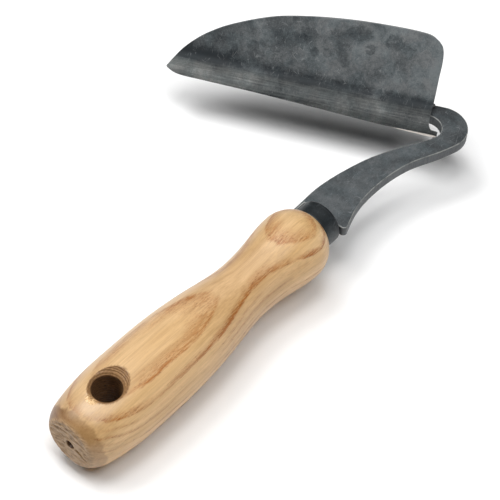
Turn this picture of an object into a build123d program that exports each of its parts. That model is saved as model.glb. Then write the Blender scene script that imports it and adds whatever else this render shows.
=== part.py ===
from build123d import *
import math
import os

# One-hand sickle: turned ash handle, pressed steel cap, flat hooked shank with a tang, formed blade.
# Millimetres, +Z up.  The shank plate lies in the XY plane, +Y runs from the butt to the blade.
# Lengths along the handle are measured from the butt face; MOVE puts the origin on the hanging hole.

# ---- driving dimensions -------------------------------------------------------------------------
HANDLE_LEN = 139.0      # butt face to the shoulder under the cap
BUTT_R = 10.2           # flat end of the butt
EDGE_R = 15.1           # where the rounded butt edge runs into the side
EDGE_Y = 7.6
BELLY_R = 17.5
BELLY_Y = 42.0
WAIST_R = 12.7
WAIST_Y = 97.6
HEAD_R = 15.6
HEAD_Y = 128.3
SHOULDER_R = 9.95
CENTRE_MARK_R = 1.1     # mark left by the lathe centre
CENTRE_MARK_DEPTH = 3.0

HOLE_Y = 20.3           # hanging hole, drilled square to the shank plate
HOLE_R = 6.0
SINK_START = 14.6       # height over the axis where the 45 degree countersink begins

CAP_R = 9.85
CAP_END = 147.3
CAP_WALL = 1.2
CAP_ROUND = 1.25

PLATE_T = 5.0
PLATE_REAR = 147.9      # rear edge of the shank, just clear of the cap
PLATE_HALF = 11.0
EAR_ROUND = 1.7
NECK_LEFT = (-11.5, 154.0)  # left edge where the neck starts to narrow
FINGER_X = -11.0        # thin lip of the plate that reaches back beside the cap
FINGER_W = 0.95
FINGER_END = 139.3
TANG_W0 = 10.0
TANG_W1 = 5.0
TANG_END = 86.0
TANG_FIT = 0.06         # clearance round the tang and under the cap

HOOK_IN = (0.9, 216.2)
HOOK_IN_R = 7.0
HOOK_OUT = (5.5, 220.5)
HOOK_OUT_R = 12.1
STRIP_END = 17.0        # how far the hook reaches under the blade, from its right-hand end
STRIP_ROUND = 2.0

BLADE_AT = (-3.75, 225.9)   # right-hand end of the crease, in plan
BLADE_TURN = 26.5       # blade direction below the -X axis
BLADE_T = 1.5
CREASE_Z = 4.05
CREASE_R = 5.0
WING_LEAN = 36.0        # wing leans back from the vertical
WING_H = 34.0
BAND_FALL = 3.0
BAND_FLAT = 5.8
NOSE_R = 6.5
NOSE_TURN = 84.0

# weld runs: both ends as (along the blade, towards the butt, up) from the right-hand end of the crease
REAR_WELD = ((-0.3, -1.9, 2.9), (14.0, -1.9, 2.9))
REAR_WELD_R = 1.7
TOE_WELD = ((-4.3, 11.5, -1.9), (-6.2, 12.9, -1.9))
TOE_WELD_R = 1.1

MOVE = Location((0, -HOLE_Y, 0))


def polar(centre, radius, degrees):
    a = math.radians(degrees)
    return (centre[0] + radius * math.cos(a), centre[1] + radius * math.sin(a))


# ---- handle -------------------------------------------------------------------------------------
def handle():
    # half outline in the XY plane, turned about Y
    tenon_r = CAP_R - CAP_WALL - TANG_FIT
    tenon_end = CAP_END - CAP_WALL - 0.3
    with BuildPart() as body:
        with BuildSketch(Plane.XY):
            with BuildLine():
                Bezier((BUTT_R, 0), (BUTT_R + 1.0, 0.1), (EDGE_R - 1.0, EDGE_Y - 4.8), (EDGE_R, EDGE_Y))
                Bezier((EDGE_R, EDGE_Y), (EDGE_R + 2.6, EDGE_Y + 12.5), (BELLY_R, BELLY_Y - 15.8), (BELLY_R, BELLY_Y))
                Bezier((BELLY_R, BELLY_Y), (BELLY_R, BELLY_Y + 31.5), (WAIST_R, WAIST_Y - 11.7), (WAIST_R, WAIST_Y))
                Bezier((WAIST_R, WAIST_Y), (WAIST_R, WAIST_Y + 15.5), (HEAD_R, HEAD_Y - 10.4), (HEAD_R, HEAD_Y))
                Bezier((HEAD_R, HEAD_Y), (HEAD_R, HEAD_Y + 4.6), (12.6, HANDLE_LEN - 1.4), (SHOULDER_R, HANDLE_LEN))
                Polyline((SHOULDER_R, HANDLE_LEN), (tenon_r, HANDLE_LEN), (tenon_r, tenon_end), (0, tenon_end),
                         (0, 0), (BUTT_R, 0))
            make_face()
        revolve(axis=Axis.Y)
        # hanging hole with a countersink on both sides
        with Locations((0, HOLE_Y, 0)):
            Cylinder(HOLE_R, 60, mode=Mode.SUBTRACT)
        for side in (1, -1):
            reach = 4.0
            with Locations(Location((0, HOLE_Y, side * (SINK_START + reach / 2)))):
                low, high = (HOLE_R, HOLE_R + reach)[::side]
                Cone(low, high, reach, mode=Mode.SUBTRACT)
        # lathe centre mark in the butt
        with Locations(Location((0, CENTRE_MARK_DEPTH / 2, 0), (90, 0, 0))):
            Cone(0.3, CENTRE_MARK_R, CENTRE_MARK_DEPTH, mode=Mode.SUBTRACT)
        # pocket for the tang
        add(tang(TANG_FIT, tenon_end + 1), mode=Mode.SUBTRACT)
    return body.part


def tang(gap, top):
    # tapered flat tang with a pointed end
    slope = (TANG_W0 - TANG_W1) / 2 / (PLATE_REAR - TANG_END)
    w1 = TANG_W1 / 2 + gap
    w0 = w1 + slope * (top - TANG_END)
    with BuildPart() as bar:
        with BuildSketch(Plane.XY.offset(-PLATE_T / 2 - gap)):
            with BuildLine():
                Polyline((-w0, top), (-w1, TANG_END), (0, TANG_END - 4 - gap), (w1, TANG_END), (w0, top), close=True)
            make_face()
        extrude(amount=PLATE_T + 2 * gap)
    return bar.part


# ---- cap ----------------------------------------------------------------------------------------
def cap():
    with BuildPart() as cup:
        with BuildSketch(Plane.XY):
            with BuildLine():
                Polyline((0, CAP_END), (CAP_R, CAP_END), (CAP_R, HANDLE_LEN + 0.05),
                         (CAP_R - CAP_WALL, HANDLE_LEN + 0.05), (CAP_R - CAP_WALL, CAP_END - CAP_WALL),
                         (0, CAP_END - CAP_WALL), close=True)
            face = make_face()
            rim = face.vertices().sort_by(lambda v: v.X + v.Y)[-1]
            fillet(rim, CAP_ROUND)
        revolve(axis=Axis.Y)
        add(tang(TANG_FIT, CAP_END + 1), mode=Mode.SUBTRACT)
    return cup.part


# ---- blade frame --------------------------------------------------------------------------------
def blade_plane():
    # unit vectors along the blade towards the tip, and level towards the butt
    a = math.radians(180 + BLADE_TURN)
    ahead = Vector(math.cos(a), math.sin(a), 0)
    front = Vector(-math.sin(a), math.cos(a), 0)
    return ahead, front


def blade_point(s, u, z):
    ahead, front = blade_plane()
    base = Vector(BLADE_AT[0], BLADE_AT[1], 0)
    return base + ahead * s + front * u + Vector(0, 0, z)


def along_blade(point):
    ahead, _ = blade_plane()
    return (point[0] - BLADE_AT[0]) * ahead.X + (point[1] - BLADE_AT[1]) * ahead.Y


# ---- shank --------------------------------------------------------------------------------------
def shank():
    heading = 180 + BLADE_TURN
    out_end = polar(HOOK_OUT, HOOK_OUT_R, heading - 90)
    in_end = polar(HOOK_IN, HOOK_IN_R, heading - 90)
    out_tip = polar(out_end, STRIP_END - along_blade(out_end), heading)
    in_tip = polar(in_end, STRIP_END - along_blade(in_end), heading)
    lead_in = polar(HOOK_OUT, HOOK_OUT_R, -16)
    leave = polar(HOOK_IN, HOOK_IN_R, -26)
    ear_x = PLATE_HALF - EAR_ROUND
    with BuildPart() as plate:
        with BuildSketch(Plane.XY.offset(-PLATE_T / 2)):
            with BuildLine():
                # right-hand side: rear edge, rounded ear, long hollow curve, outside of the hook
                Line((FINGER_X + FINGER_W, PLATE_REAR), (ear_x, PLATE_REAR))
                ear = ThreePointArc((ear_x, PLATE_REAR), (PLATE_HALF - 0.2, PLATE_REAR + 0.7),
                                    (PLATE_HALF, PLATE_REAR + 2.2))
                hollow = Spline(ear @ 1, (8.1, 158.5), (6.1, 174.5), (8.9, 195.5), lead_in,
                                tangents=[(-0.33, 1), (math.sin(math.radians(16)), math.cos(math.radians(16)))])
                ThreePointArc(hollow @ 1, polar(HOOK_OUT, HOOK_OUT_R, 50), out_end)
                # strip behind the blade, then the inside of the hook
                Polyline(out_end, out_tip, in_tip, in_end)
                ThreePointArc(in_end, polar(HOOK_IN, HOOK_IN_R, 40), leave)
                # left-hand side back to the finger
                Spline(leave, (0.6, 200.3), (-5.6, 186.0), (-8.9, 174.0), (-11.0, 162.0), NECK_LEFT,
                       tangents=[(-0.44, -0.9), (-0.02, -1)])
                Polyline(NECK_LEFT, (FINGER_X, FINGER_END), (FINGER_X + FINGER_W, FINGER_END),
                         (FINGER_X + FINGER_W, PLATE_REAR))
            face = make_face()
            tips = [v for v in face.vertices() if (Vector(v.X, v.Y, 0) - Vector(*out_tip)).length < 0.01
                    or (Vector(v.X, v.Y, 0) - Vector(*in_tip)).length < 0.01]
            fillet(tips, STRIP_ROUND)
        extrude(amount=PLATE_T)
        add(tang(0, PLATE_REAR + 1))
    return plate.part


# ---- blade --------------------------------------------------------------------------------------
def sheet_line():
    # corners of the sheet's middle line in (u, z): wing top, both ends of the crease arc, start of the nose
    lean = math.radians(WING_LEAN)
    fall = math.radians(BAND_FALL)
    cut = CREASE_R * math.tan((math.pi / 2 - lean - fall) / 2)
    wing_end = (-WING_H * math.sin(lean), CREASE_Z + WING_H * math.cos(lean))
    crease_top = (-cut * math.sin(lean), CREASE_Z + cut * math.cos(lean))
    crease_low = (cut * math.cos(fall), CREASE_Z - cut * math.sin(fall))
    nose_start = (BAND_FLAT * math.cos(fall), CREASE_Z - BAND_FLAT * math.sin(fall))
    return wing_end, crease_top, crease_low, nose_start


def blade():
    ahead, front = blade_plane()
    wing_end, crease_top, crease_low, nose_start = sheet_line()
    fall = math.radians(BAND_FALL)
    section = Plane(origin=blade_point(-12, 0, 0), x_dir=front, z_dir=front.cross(Vector(0, 0, 1)))
    run = 140 if section.z_dir.dot(ahead) > 0 else -140
    nose_centre = (nose_start[0] - NOSE_R * math.sin(fall), nose_start[1] - NOSE_R * math.cos(fall))
    nose_mid = polar(nose_centre, NOSE_R, 90 - BAND_FALL - NOSE_TURN / 2)
    nose_end = polar(nose_centre, NOSE_R, 90 - BAND_FALL - NOSE_TURN)
    # the crease arc is centred above the valley, and its lowest point faces halfway between wing and band
    centre = (crease_low[0] + CREASE_R * math.sin(fall), crease_low[1] + CREASE_R * math.cos(fall))
    middle = Vector((crease_top[0] + crease_low[0]) / 2 - centre[0], (crease_top[1] + crease_low[1]) / 2 - centre[1])
    valley = polar(centre, CREASE_R, math.degrees(math.atan2(middle.Y, middle.X)))
    with BuildPart() as sheet:
        with BuildSketch(section):
            with BuildLine() as path:
                Line(wing_end, crease_top)
                ThreePointArc(crease_top, valley, crease_low)
                Line(crease_low, nose_start)
                ThreePointArc(nose_start, nose_mid, nose_end)
            trace(path.line, BLADE_T)
        extrude(amount=run)
    # the sheet is trimmed square to a plane facing half way up
    look = (front + Vector(0, 0, 1)).normalized()
    trim = Plane(origin=blade_point(0, 0, 0), x_dir=ahead, z_dir=look)
    up = trim.y_dir.dot(Vector(0, 0, 1))
    k = 1 if up > 0 else -1
    with BuildPart() as cutter:
        with BuildSketch(trim):
            with BuildLine():
                tip = (116.3, -3.2 * k)
                top = Spline(tip, (113.1, 3.6 * k), (105.8, 11.4 * k), (90.2, 21.0 * k), (74.2, 27.1 * k),
                             (57.9, 30.4 * k), (41.3, 32.4 * k), (24.6, 33.3 * k), (11.0, 33.4 * k))
                corner = Spline(top @ 1, (3.2, 31.8 * k), (-0.6, 24.5 * k), tangents=[(-1, 0), (0, -1 * k)])
                side = Line(corner @ 1, (-0.6, -3.0 * k))
                toe = Spline(side @ 1, (-1.6, -6.6 * k), (-5.0, -8.4 * k), tangents=[(0, -1 * k), (-1, -0.12 * k)])
                Line(toe @ 1, (-5.0, -10.2 * k))
                low = Line((-5.0, -10.2 * k), (10.0, -9.5 * k))
                Spline(low @ 1, (55.0, -7.6 * k), (98.0, -6.3 * k), (111.0, -5.9 * k), tip,
                       tangents=[(1, 0.04 * k), (0.75, 0.65 * k)])
            make_face()
        extrude(amount=80, both=True)
    return sheet.part & cutter.part


# ---- welds --------------------------------------------------------------------------------------
def bead(start, end, radius, cutters):
    # a run of weld metal: a round-ended bar laid along a line and trimmed to the parts it joins
    run = end - start
    lie = Plane(origin=start, x_dir=run.cross(Vector(0, 0, 1)), z_dir=run)
    with BuildPart() as bar:
        with BuildSketch(Plane.XZ):
            with BuildLine():
                Line((0, -radius), (0, run.length + radius))
                ThreePointArc((0, -radius), (radius * math.sqrt(0.5), -radius * math.sqrt(0.5)), (radius, 0))
                Line((radius, 0), (radius, run.length))
                ThreePointArc((radius, run.length), (radius * math.sqrt(0.5), run.length + radius * math.sqrt(0.5)),
                              (0, run.length + radius))
            make_face()
        revolve(axis=Axis.Z)
    shape = lie.location * bar.part
    for other in cutters:
        shape = shape - other
    return shape


def main():
    os.makedirs("parts", exist_ok=True)
    plate = shank()
    sheet = blade()
    nodes = {
        "handle": handle(),
        "ferrule": cap(),
        "shank": plate,
        "blade": sheet,
        "weld_rear": bead(blade_point(*REAR_WELD[0]), blade_point(*REAR_WELD[1]), REAR_WELD_R, [plate, sheet]),
        "weld_toe": bead(blade_point(*TOE_WELD[0]), blade_point(*TOE_WELD[1]), TOE_WELD_R, [plate, sheet]),
    }
    for name, shape in nodes.items():
        solids = shape.solids()
        size = shape.bounding_box().size
        print(f"{name} {len(solids)} {sum(s.volume for s in solids):.1f} {size.X:.2f} {size.Y:.2f} {size.Z:.2f}")
        export_step(MOVE * max(solids, key=lambda s: s.volume), f"parts/{name}.step")


main()
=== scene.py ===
import math

import bmesh
import bpy
import numpy as np
from mathutils import Matrix, Vector, noise


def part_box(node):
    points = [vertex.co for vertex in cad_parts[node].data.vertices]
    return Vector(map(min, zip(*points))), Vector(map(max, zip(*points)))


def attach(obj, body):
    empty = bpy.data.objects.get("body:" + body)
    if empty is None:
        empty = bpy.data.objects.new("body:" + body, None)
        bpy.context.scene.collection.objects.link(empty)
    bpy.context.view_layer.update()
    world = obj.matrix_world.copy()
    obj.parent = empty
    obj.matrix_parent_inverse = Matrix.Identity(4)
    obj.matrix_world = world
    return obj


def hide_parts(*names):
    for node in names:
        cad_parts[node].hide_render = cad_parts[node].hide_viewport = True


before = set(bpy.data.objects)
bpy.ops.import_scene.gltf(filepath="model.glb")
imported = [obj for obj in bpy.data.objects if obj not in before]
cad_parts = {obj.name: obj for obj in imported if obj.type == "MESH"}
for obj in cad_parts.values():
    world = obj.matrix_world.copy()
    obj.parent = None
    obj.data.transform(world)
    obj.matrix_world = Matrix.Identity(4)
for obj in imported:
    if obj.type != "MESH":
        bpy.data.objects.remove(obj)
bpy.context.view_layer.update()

MM = 0.001
# the frame's origin is the hanging hole, this far from the butt face
HOLE_Y = -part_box("handle")[0].y / MM

# ---- sizes, millimetres; y is measured from the butt face -----------------------------------------
# handle: the butt face's radius, then (radius, y) at four places along it, and at the cap's foot
BUTT_R, EDGE, BELLY, WAIST, HEAD = 10.2, (15.1, 7.6), (17.5, 42.0), (12.7, 97.6), (15.6, 128.3)
CAP_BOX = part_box("ferrule")
CAP_R, CAP_END, CAP_ROUND = CAP_BOX[1].x / MM, CAP_BOX[1].y / MM + HOLE_Y, 1.25
CAP_WALL_END = 145.9
SHOULDER = (CAP_R + 0.1, CAP_BOX[0].y / MM + HOLE_Y - 0.05)
# hanging hole: its radius, and the height either side of the axis where its countersink starts
HOLE_R, SINK_START = 6.0, 14.6
# the plate's edges are broken only ahead of here, where they show
PLATE_SHOWS = 147.0
# blade: where the crease line's right-hand end stands (x, y), the blade's turn in degrees from square across,
# and its sheet's thickness
BLADE_AT, BLADE_TURN, BLADE_T = (-3.75, 225.9), 26.5, 1.5
# its section: the crease's height and radius, the wing's lean in degrees and its height,
# the band's fall in degrees and its flat width, the nose's radius and its turn in degrees
CREASE_Z, CREASE_R, WING_LEAN, WING_H = 4.05, 5.0, 36.0, 34.0
BAND_FALL, BAND_FLAT, NOSE_R, NOSE_TURN = 3.0, 5.8, 6.5, 84.0


# ---- small helpers ---------------------------------------------------------------------------------
def bezier(p, n):
    """n points along the cubic curve with four control points."""
    t = np.linspace(0, 1, n)[:, None]
    p = np.array(p, float)
    return (1 - t) ** 3 * p[0] + 3 * (1 - t) ** 2 * t * p[1] + 3 * (1 - t) * t ** 2 * p[2] + t ** 3 * p[3]


def smooth_line(points, n):
    """Centripetal Catmull-Rom line through the points, n samples even along its length."""
    p = np.array(points, float)
    p = np.vstack([2 * p[0] - p[1], p, 2 * p[-1] - p[-2]])
    out = []
    for k in range(1, len(p) - 2):
        a, b, c, d = p[k - 1], p[k], p[k + 1], p[k + 2]
        t0 = 0.0
        t1 = t0 + np.linalg.norm(b - a) ** 0.5
        t2 = t1 + np.linalg.norm(c - b) ** 0.5
        t3 = t2 + np.linalg.norm(d - c) ** 0.5
        for t in np.linspace(t1, t2, 24, endpoint=False):
            a1 = (t1 - t) / (t1 - t0) * a + (t - t0) / (t1 - t0) * b
            a2 = (t2 - t) / (t2 - t1) * b + (t - t1) / (t2 - t1) * c
            a3 = (t3 - t) / (t3 - t2) * c + (t - t2) / (t3 - t2) * d
            b1 = (t2 - t) / (t2 - t0) * a1 + (t - t0) / (t2 - t0) * a2
            b2 = (t3 - t) / (t3 - t1) * a2 + (t - t1) / (t3 - t1) * a3
            out.append((t2 - t) / (t2 - t1) * b1 + (t - t1) / (t2 - t1) * b2)
    out.append(p[-2])
    out = np.array(out)
    run = np.concatenate([[0], np.cumsum(np.linalg.norm(np.diff(out, axis=0), axis=1))])
    at = np.linspace(0, run[-1], n)
    return np.stack([np.interp(at, run, out[:, 0]), np.interp(at, run, out[:, 1])], 1)


def waver(p, scale, seed=0.0):
    """Smooth noise, about -1 to 1, at a point in mm."""
    at = (p[0] * scale[0] + seed, p[1] * scale[1] - seed, p[2] * scale[2] + 2 * seed)
    return noise.noise(Vector(at))


def to_frame(v):
    """mm from the butt face to metres in the frame."""
    v = np.array(v, float)
    v[:, 1] -= HOLE_Y
    return v * MM


def make(name, verts_mm, faces):
    mesh = bpy.data.meshes.new(name)
    mesh.from_pydata(to_frame(verts_mm).tolist(), [], faces)
    mesh.validate()
    obj = bpy.data.objects.new(name, mesh)
    bpy.context.scene.collection.objects.link(obj)
    mesh.polygons.foreach_set("use_smooth", [True] * len(mesh.polygons))
    return obj


def grid_faces(rows, cols, wrap_cols=False, start=0, flip=False):
    faces = []
    last = cols if wrap_cols else cols - 1
    for i in range(rows - 1):
        for j in range(last):
            k = (j + 1) % cols
            here, ahead = start + i * cols, start + (i + 1) * cols
            f = (here + j, here + k, ahead + k, ahead + j)
            faces.append(f[::-1] if flip else f)
    return faces


def outward(obj):
    """Merge doubled points and turn every face outward."""
    b = bmesh.new()
    b.from_mesh(obj.data)
    bmesh.ops.remove_doubles(b, verts=b.verts, dist=1e-7)
    bmesh.ops.recalc_face_normals(b, faces=b.faces)
    b.to_mesh(obj.data)
    b.free()


def point_values(obj, name, values):
    a = obj.data.attributes.new(name, "FLOAT", "POINT")
    a.data.foreach_set("value", np.asarray(values, np.float32))


def coords(obj):
    """Vertex positions in mm from the butt face."""
    co = np.empty(len(obj.data.vertices) * 3)
    obj.data.vertices.foreach_get("co", co)
    co = co.reshape(-1, 3) / MM
    co[:, 1] += HOLE_Y
    return co


def put_coords(obj, co):
    obj.data.vertices.foreach_set("co", to_frame(co).ravel())
    obj.data.update()


def stand_for(obj, node):
    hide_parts(node)
    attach(obj, "root")


def lathe(name, profile, around, wobble=None):
    """A profile of (radius, y) turned about the y axis; its ends lie on the axis."""
    verts, rows = [], []
    for r, y in profile:
        if r < 1e-6:
            rows.append([len(verts)])
            verts.append((0, y, 0))
            continue
        rows.append(list(range(len(verts), len(verts) + around)))
        for k in range(around):
            a = 2 * math.pi * k / around
            rr = r + (wobble(r, y, a) if wobble else 0)
            verts.append((rr * math.cos(a), y, rr * math.sin(a)))
    faces = []
    for a, b in zip(rows, rows[1:]):
        for k in range(around):
            m = (k + 1) % around
            if len(a) == 1:
                faces.append((a[0], b[k], b[m]))
            elif len(b) == 1:
                faces.append((a[k], b[0], a[m]))
            else:
                faces.append((a[k], b[k], b[m], a[m]))
    return make(name, verts, faces)


# ---- node helpers ------------------------------------------------------------------------------------
class Look:
    """Builds one material's nodes with short calls."""

    def __init__(self, name):
        self.mat = bpy.data.materials.new(name)
        self.mat.use_nodes = True
        self.tree = self.mat.node_tree
        self.shader = self.tree.nodes["Principled BSDF"]

    def node(self, kind, **props):
        n = self.tree.nodes.new(kind)
        for k, v in props.items():
            setattr(n, k, v)
        return n

    def feed(self, socket, value):
        if hasattr(value, "is_output"):
            self.tree.links.new(value, socket)
        elif isinstance(value, (tuple, list)) and socket.type == "RGBA":
            socket.default_value = (*value[:3], 1.0)
        else:
            socket.default_value = value

    def math(self, op, a, b=0.0, c=0.0, clamp=False):
        n = self.node("ShaderNodeMath", operation=op, use_clamp=clamp)
        for s, v in zip(n.inputs, (a, b, c)):
            self.feed(s, v)
        return n.outputs[0]

    def hypot(self, a, b):
        squares = self.math("ADD", self.math("MULTIPLY", a, a), self.math("MULTIPLY", b, b))
        return self.math("SQRT", squares)

    def nudge(self, value, noise_value, amount):
        """The value moved up and down by a noise that is centred on a half."""
        return self.math("MULTIPLY_ADD", self.math("SUBTRACT", noise_value, 0.5), amount, value)

    def position(self):
        """Object coordinates in mm."""
        n = self.node("ShaderNodeVectorMath", operation="SCALE")
        self.feed(n.inputs[0], self.node("ShaderNodeTexCoord").outputs["Object"])
        n.inputs["Scale"].default_value = 1000.0
        return n.outputs[0]

    def split(self, v):
        n = self.node("ShaderNodeSeparateXYZ")
        self.feed(n.inputs[0], v)
        return n.outputs

    def join(self, x, y, z):
        n = self.node("ShaderNodeCombineXYZ")
        for s, v in zip(n.inputs, (x, y, z)):
            self.feed(s, v)
        return n.outputs[0]

    def stretch(self, v, scale, turn=(0, 0, 0), shift=(0, 0, 0)):
        n = self.node("ShaderNodeMapping")
        self.feed(n.inputs["Vector"], v)
        n.inputs["Scale"].default_value = scale
        n.inputs["Rotation"].default_value = turn
        n.inputs["Location"].default_value = shift
        return n.outputs[0]

    def moved(self, v, by):
        """The vector shifted, so that one noise doesn't repeat another."""
        return self.stretch(v, (1, 1, 1), shift=by)

    def noise(self, v, scale, detail=2.0, rough=0.5, twist=0.0):
        n = self.node("ShaderNodeTexNoise")
        self.feed(n.inputs["Vector"], v)
        n.inputs["Scale"].default_value = scale
        n.inputs["Detail"].default_value = detail
        n.inputs["Roughness"].default_value = rough
        n.inputs["Distortion"].default_value = twist
        return n.outputs["Fac"]

    def warp(self, v, scale, amount):
        """The vector pushed about by smooth noise, amount in mm."""
        n = self.node("ShaderNodeTexNoise")
        self.feed(n.inputs["Vector"], v)
        n.inputs["Scale"].default_value = scale
        n.inputs["Detail"].default_value = 2.0
        centred = self.node("ShaderNodeVectorMath", operation="SUBTRACT")
        self.feed(centred.inputs[0], n.outputs["Color"])
        centred.inputs[1].default_value = (0.5, 0.5, 0.5)
        grown = self.node("ShaderNodeVectorMath", operation="SCALE")
        self.feed(grown.inputs[0], centred.outputs[0])
        grown.inputs["Scale"].default_value = 2.0 * amount
        moved = self.node("ShaderNodeVectorMath", operation="ADD")
        self.feed(moved.inputs[0], v)
        self.feed(moved.inputs[1], grown.outputs[0])
        return moved.outputs[0]

    def cells(self, v, scale, feature="F1"):
        n = self.node("ShaderNodeTexVoronoi", feature=feature)
        self.feed(n.inputs["Vector"], v)
        n.inputs["Scale"].default_value = scale
        return n.outputs["Distance"]

    def span(self, v, a, b, lo=0.0, hi=1.0, kind="SMOOTHSTEP"):
        n = self.node("ShaderNodeMapRange", interpolation_type=kind)
        self.feed(n.inputs[0], v)
        for k, x in zip((1, 2, 3, 4), (a, b, lo, hi)):
            n.inputs[k].default_value = x
        return n.outputs[0]

    def ramp(self, v, stops):
        n = self.node("ShaderNodeValToRGB")
        self.feed(n.inputs[0], v)
        e = n.color_ramp.elements
        e[0].position, e[0].color = stops[0][0], (*stops[0][1], 1)
        e[1].position, e[1].color = stops[-1][0], (*stops[-1][1], 1)
        for at, colour in stops[1:-1]:
            e.new(at).color = (*colour, 1)
        return n.outputs[0]

    def mix(self, fac, a, b, how="MIX"):
        n = self.node("ShaderNodeMix", data_type="RGBA", blend_type=how)
        self.feed(n.inputs[0], fac)
        self.feed(n.inputs[6], a)
        self.feed(n.inputs[7], b)
        return n.outputs[2]

    def tint(self, colour, by):
        return self.mix(1.0, colour, by, "MULTIPLY")

    def value_of(self, name):
        return self.node("ShaderNodeAttribute", attribute_name=name).outputs["Fac"]

    def bump(self, height, depth_mm, strength):
        n = self.node("ShaderNodeBump")
        n.inputs["Strength"].default_value = strength
        n.inputs["Distance"].default_value = depth_mm * MM
        self.feed(n.inputs["Height"], height)
        return n.outputs[0]

    def finish(self, **sockets):
        for name, value in sockets.items():
            self.feed(self.shader.inputs[name.replace("_", " ")], value)
        return self.mat


def rgb(r, g, b):
    """0-255 screen colour to linear."""
    return tuple((c / 255 / 12.92) if c <= 10 else ((c / 255 + 0.055) / 1.055) ** 2.4 for c in (r, g, b))


# ---- handle ------------------------------------------------------------------------------------------
def handle_profile():
    er, ey = EDGE
    br, by = BELLY
    wr, wy = WAIST
    hr, hy = HEAD
    arcs = [
        [(BUTT_R, 0), (BUTT_R + 1.0, 0.1), (er - 1.0, ey - 4.8), (er, ey)],
        [(er, ey), (er + 2.6, ey + 12.5), (br, by - 15.8), (br, by)],
        [(br, by), (br, by + 31.5), (wr, wy - 11.7), (wr, wy)],
        [(wr, wy), (wr, wy + 15.5), (hr, hy - 10.4), (hr, hy)],
        [(hr, hy), (hr, hy + 4.6), (12.6, SHOULDER[1] - 1.4), SHOULDER],
    ]
    counts = (18, 44, 56, 36, 26)
    # the lathe centre's mark, from its bottom out to the butt face
    line = [(0, 2.6), (0.8, 2.5), (1.3, 2.1), (1.6, 1.4),
            (1.74, 0.8), (1.84, 0.35), (1.96, 0.12), (2.15, 0.03)]
    line += [(r, 0.0) for r in np.linspace(2.5, BUTT_R - 0.4, 24)]
    # an arc's first point is left out: it is where the arc before ends, and the first arc's is not needed
    for arc, n in zip(arcs, counts):
        line += [tuple(p) for p in bezier(arc, n)[1:]]
    line += [(r, SHOULDER[1]) for r in (9.2, 7.0, 4.0, 1.5)] + [(0, SHOULDER[1])]
    return line


def hole_flare(z):
    """How much wider than the bore the hole is at this height."""
    return np.clip(np.abs(z) - SINK_START + 0.12, 0, None) * 1.12


def carve_handle(obj):
    """Drilled hole with turning rings and a countersink each side, cut out of the turned body."""
    profile = []
    # heights down the hole, closer together at its two countersinks
    heights = [np.arange(-20.0, -14.0, 0.1), np.arange(-14.0, 14.0, 0.25), np.arange(14.0, 20.01, 0.1)]
    for z in np.concatenate(heights):
        flare = float(hole_flare(z))
        ring = 0.06 * math.sin(z * 4.1 + 0.9 * math.sin(z * 0.7)) + 0.03 * math.sin(z * 9.7)
        if flare > 0.1:
            ring = 0.11 * math.sin(z * 8.6 + 1.5 * math.sin(z * 1.9))
        profile.append((HOLE_R + flare + ring + 0.04, z))
    around = 96
    verts, faces = [], []
    for r, z in profile:
        for k in range(around):
            a = 2 * math.pi * k / around
            rough = 0.05 * waver((r * math.cos(a), r * math.sin(a), z), (0.9, 0.9, 0.25), 3.0)
            verts.append(((r + rough) * math.cos(a), HOLE_Y + (r + rough) * math.sin(a), z))
    faces = grid_faces(len(profile), around, wrap_cols=True)
    faces.append(tuple(range(around))[::-1])
    faces.append(tuple(range((len(profile) - 1) * around, len(profile) * around)))
    cutter = make("hole_cutter", verts, faces)
    outward(cutter)
    mod = obj.modifiers.new("hole", "BOOLEAN")
    mod.operation = "DIFFERENCE"
    mod.solver = "EXACT"
    mod.object = cutter
    bpy.context.view_layer.update()
    cut = bpy.data.meshes.new_from_object(obj.evaluated_get(bpy.context.evaluated_depsgraph_get()))
    obj.modifiers.clear()
    obj.data = cut
    bpy.data.objects.remove(cutter)


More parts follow.
